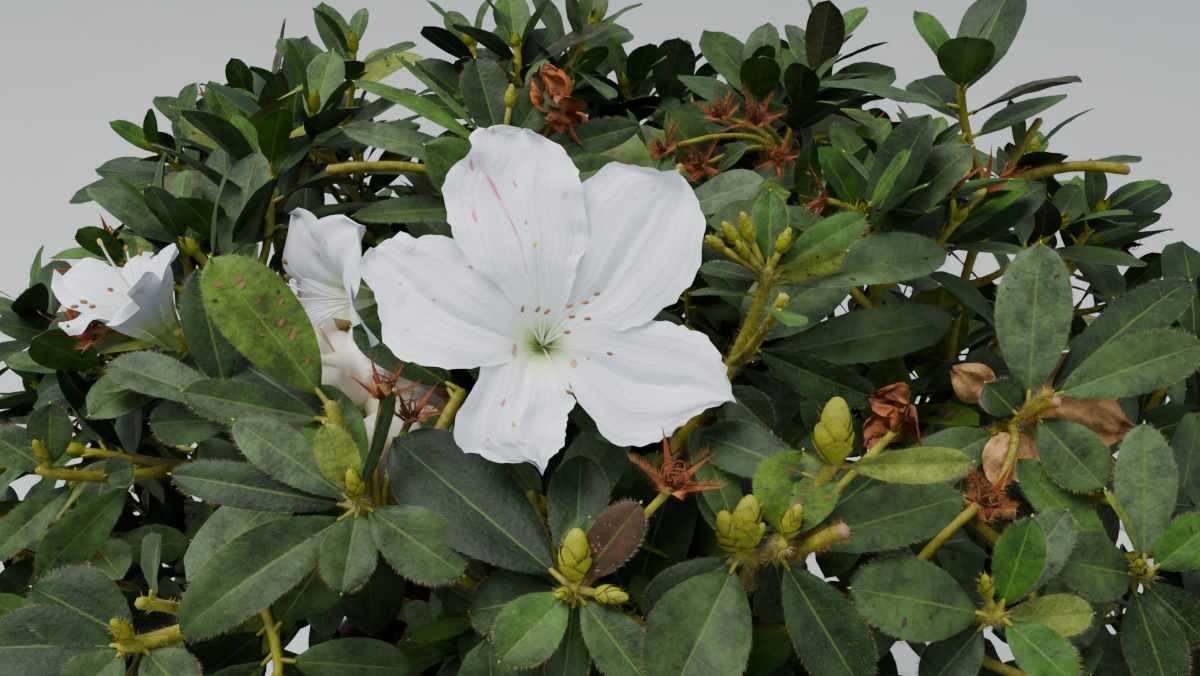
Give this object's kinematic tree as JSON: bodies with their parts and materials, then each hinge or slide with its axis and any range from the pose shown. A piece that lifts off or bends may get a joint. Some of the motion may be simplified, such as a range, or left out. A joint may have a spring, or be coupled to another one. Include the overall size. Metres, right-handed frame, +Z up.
{
  "type": "azalea shrub",
  "caption": "Bushy azalea shrub with open white blooms and hairy leaves in whorls, on a short trunk in a plain round nursery pot filled with bark mix.",
  "frame": {"origin": "middle of the flat underside of the pot, which stands on the floor", "axes": "+Z up, -Y towards the side of the crown that the picture shows"},
  "size_m": [0.4785, 0.4498, 0.5487],
  "materials": {
    "pot": "satin to glossy burgundy plastic",
    "soil": "rough moist bark mix",
    "bark": "rough matte bark",
    "foliage": "soft hairy leaves with a dull sheen",
    "twig": "green to olive-brown bristly shoots",
    "blossom": "soft white petals with a few pink flecks"
  },
  "bodies": {
    "root": {"pot": "pot", "root_ball": "soil", "trunk": "bark", "bough_low_1": "bark", "foliage_low_1": "foliage", "bough_low_2": "bark", "foliage_low_2": "foliage", "bough_low_3": "bark", "foliage_low_3": "foliage", "bough_low_4": "bark", "foliage_low_4": "foliage", "bough_low_5": "bark", "foliage_low_5": "foliage", "bough_low_6": "bark", "foliage_low_6": "foliage", "bough_low_7": "bark", "foliage_low_7": "foliage", "bough_high_1": "bark", "foliage_high_1": "foliage", "bough_high_2": "bark", "foliage_high_2": "foliage", "bough_high_3": "bark", "foliage_high_3": "foliage", "bough_high_4": "bark", "foliage_high_4": "foliage", "bough_high_5": "bark", "foliage_high_5": "foliage", "bough_top": "bark", "foliage_top": "foliage"}
  },
  "joints": []
}
